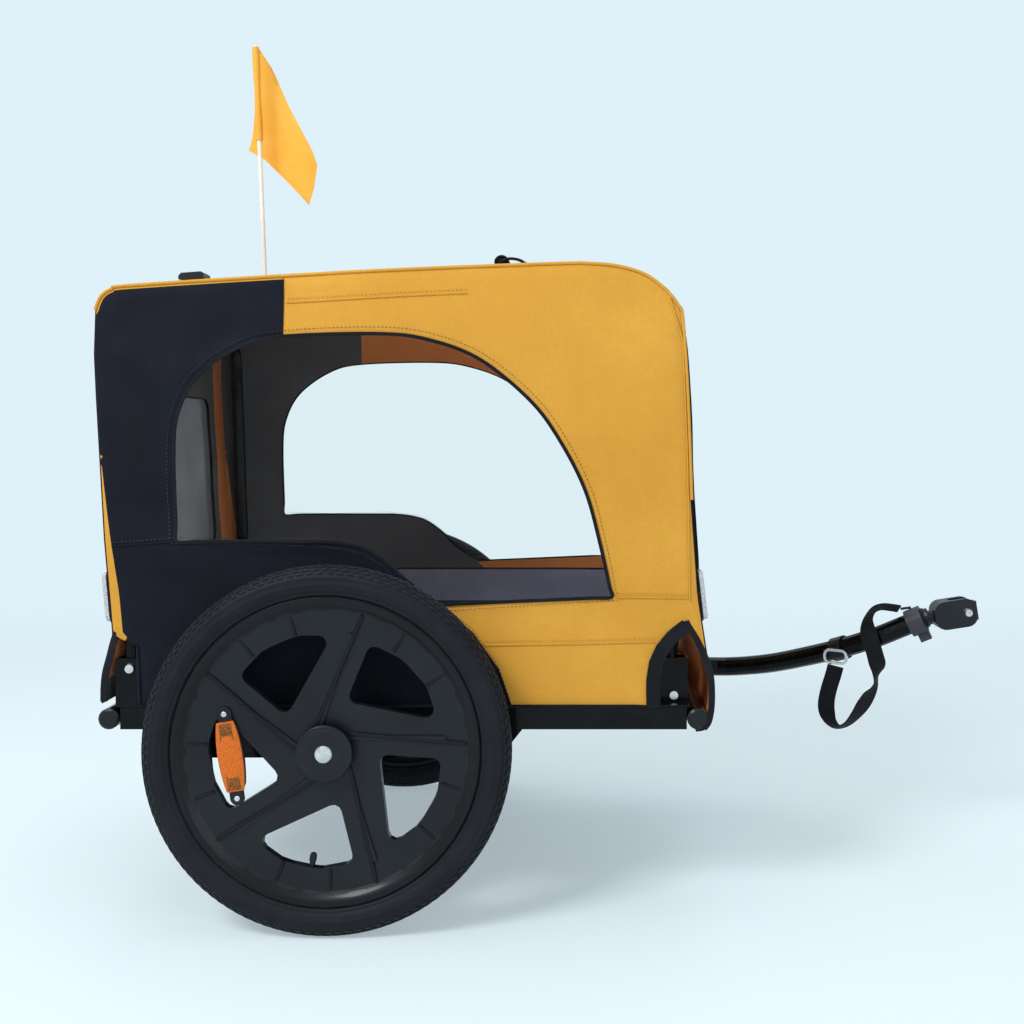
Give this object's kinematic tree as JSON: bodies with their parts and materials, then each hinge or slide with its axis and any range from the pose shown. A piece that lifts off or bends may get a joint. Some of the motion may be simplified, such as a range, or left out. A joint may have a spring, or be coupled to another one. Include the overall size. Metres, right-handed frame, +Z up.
{
  "type": "stroller bike trailer",
  "caption": "Two-wheeled bicycle trailer with a fabric cabin, clear side windows, a folding tube frame, a swinging tow arm with hitch and a flag.",
  "frame": {"origin": "middle of the footprint, on the floor", "axes": "+X to the front, where the tow arm reaches; +Y to the left side; +Z up"},
  "size_m": [1.3144, 0.73, 1.4012],
  "materials": {
    "tyre_rubber": "matt rubber",
    "wheel_plastic": "satin moulded",
    "bright_steel": "bright",
    "amber_lens": "clear gloss over a prism pattern",
    "frame_paint": "gloss",
    "fittings_plastic": "satin moulded",
    "grey_plastic": "satin moulded",
    "yellow_fabric": "coated woven cloth",
    "black_fabric": "coated woven cloth",
    "tub_liner": "padded woven cloth",
    "floor_board": "moulded sheet",
    "window_film": "clear vinyl film",
    "clear_lens": "clear gloss over a prism pattern",
    "flag_pole": "pultruded rod",
    "flag_fabric": "woven cloth",
    "webbing": "woven webbing"
  },
  "bodies": {
    "frame": {"rail_right": "frame_paint", "rail_left": "frame_paint", "end_cap_front_right": "fittings_plastic", "end_cap_rear_right": "fittings_plastic", "end_cap_front_left": "fittings_plastic", "end_cap_rear_left": "fittings_plastic", "cross_tube_front": "frame_paint", "cross_tube_rear": "frame_paint", "axle_beam": "frame_paint", "floor_board": "floor_board", "hinge_bracket_rear_right": "fittings_plastic", "hinge_bracket_front_right": "fittings_plastic", "hinge_bracket_rear_left": "fittings_plastic", "hinge_bracket_front_left": "fittings_plastic", "hinge_bolt_rear_right": "bright_steel", "hinge_bolt_front_right": "bright_steel", "hinge_bolt_rear_left": "bright_steel", "hinge_bolt_front_left": "bright_steel", "wheel_axle_right": "bright_steel", "wheel_axle_left": "bright_steel", "side_panel_right": "yellow_fabric", "side_panel_left": "yellow_fabric", "side_window_right": "window_film", "side_window_left": "window_film", "roof_panel": "yellow_fabric", "front_panel": "yellow_fabric", "rear_panel": "yellow_fabric", "floor_tub": "tub_liner", "rolled_cover": "black_fabric", "front_reflector": "clear_lens", "rear_reflector": "clear_lens", "flag_pole": "flag_pole", "flag": "flag_fabric", "arm_bracket": "frame_paint", "arm_pivot_bolt": "bright_steel"},
    "wheel_right": {"tyre_right": "tyre_rubber", "inner_tube_right": "tyre_rubber", "wheel_disc_right": "wheel_plastic", "hub_cap_right": "wheel_plastic", "bearing_outer_right": "bright_steel", "bearing_inner_right": "bright_steel", "wheel_reflector_right": "amber_lens"},
    "wheel_left": {"tyre_left": "tyre_rubber", "inner_tube_left": "tyre_rubber", "wheel_disc_left": "wheel_plastic", "hub_cap_left": "wheel_plastic", "bearing_outer_left": "bright_steel", "bearing_inner_left": "bright_steel", "wheel_reflector_left": "amber_lens"},
    "rear_arch": {"rear_arch": "frame_paint"},
    "front_arch": {"front_arch": "frame_paint"},
    "tow_arm": {"tow_arm": "frame_paint", "arm_collar": "grey_plastic", "strap_wrap": "webbing", "strap_ring": "bright_steel", "safety_strap": "webbing", "strap_clip": "bright_steel"},
    "hitch_fork": {"hitch_fork": "fittings_plastic", "hitch_bolt": "bright_steel"},
    "hitch_coupler": {"hitch_coupler": "bright_steel"}
  },
  "joints": [
    {"name": "wheel_right_spin", "type": "hinge", "parent": "frame", "child": "wheel_right", "pos_m": [-0.32117, -0.3357, 0.2475], "axis": [0, 1, 0], "continuous": true},
    {"name": "wheel_left_spin", "type": "hinge", "parent": "frame", "child": "wheel_left", "pos_m": [-0.32117, 0.3357, 0.2475], "axis": [0, 1, 0], "continuous": true},
    {"name": "rear_arch_fold", "type": "hinge", "parent": "frame", "child": "rear_arch", "pos_m": [-0.60717, 0, 0.345], "axis": [0, 1, 0], "range_deg": [0, 92.02], "deforming": ["roof_panel", "side_panel_right", "side_panel_left", "side_window_right", "side_window_left", "front_panel", "rear_panel", "floor_tub", "rolled_cover"]},
    {"name": "front_arch_fold", "type": "hinge", "parent": "frame", "child": "front_arch", "pos_m": [0.14883, 0, 0.303], "axis": [0, -1, 0], "range_deg": [0, 85.07]},
    {"name": "tow_arm_swing", "type": "hinge", "parent": "frame", "child": "tow_arm", "pos_m": [0.22483, 0.222, 0.251], "axis": [0, 0, 1], "range_deg": [-45, 0]},
    {"name": "hitch_swivel", "type": "hinge", "parent": "tow_arm", "child": "hitch_fork", "pos_m": [0.57483, -0.01457, 0.376], "axis": [0.8495, -0.3129, 0.4247], "range_deg": [-20, 20]},
    {"name": "hitch_pitch", "type": "hinge", "parent": "hitch_fork", "child": "hitch_coupler", "pos_m": [0.63709, -0.01457, 0.38563], "axis": [0, 1, 0], "range_deg": [-30, 30]}
  ],
  "couplings": [
    {"joint": "front_arch_fold", "follows": "rear_arch_fold", "ratio": 0.92447}
  ]
}
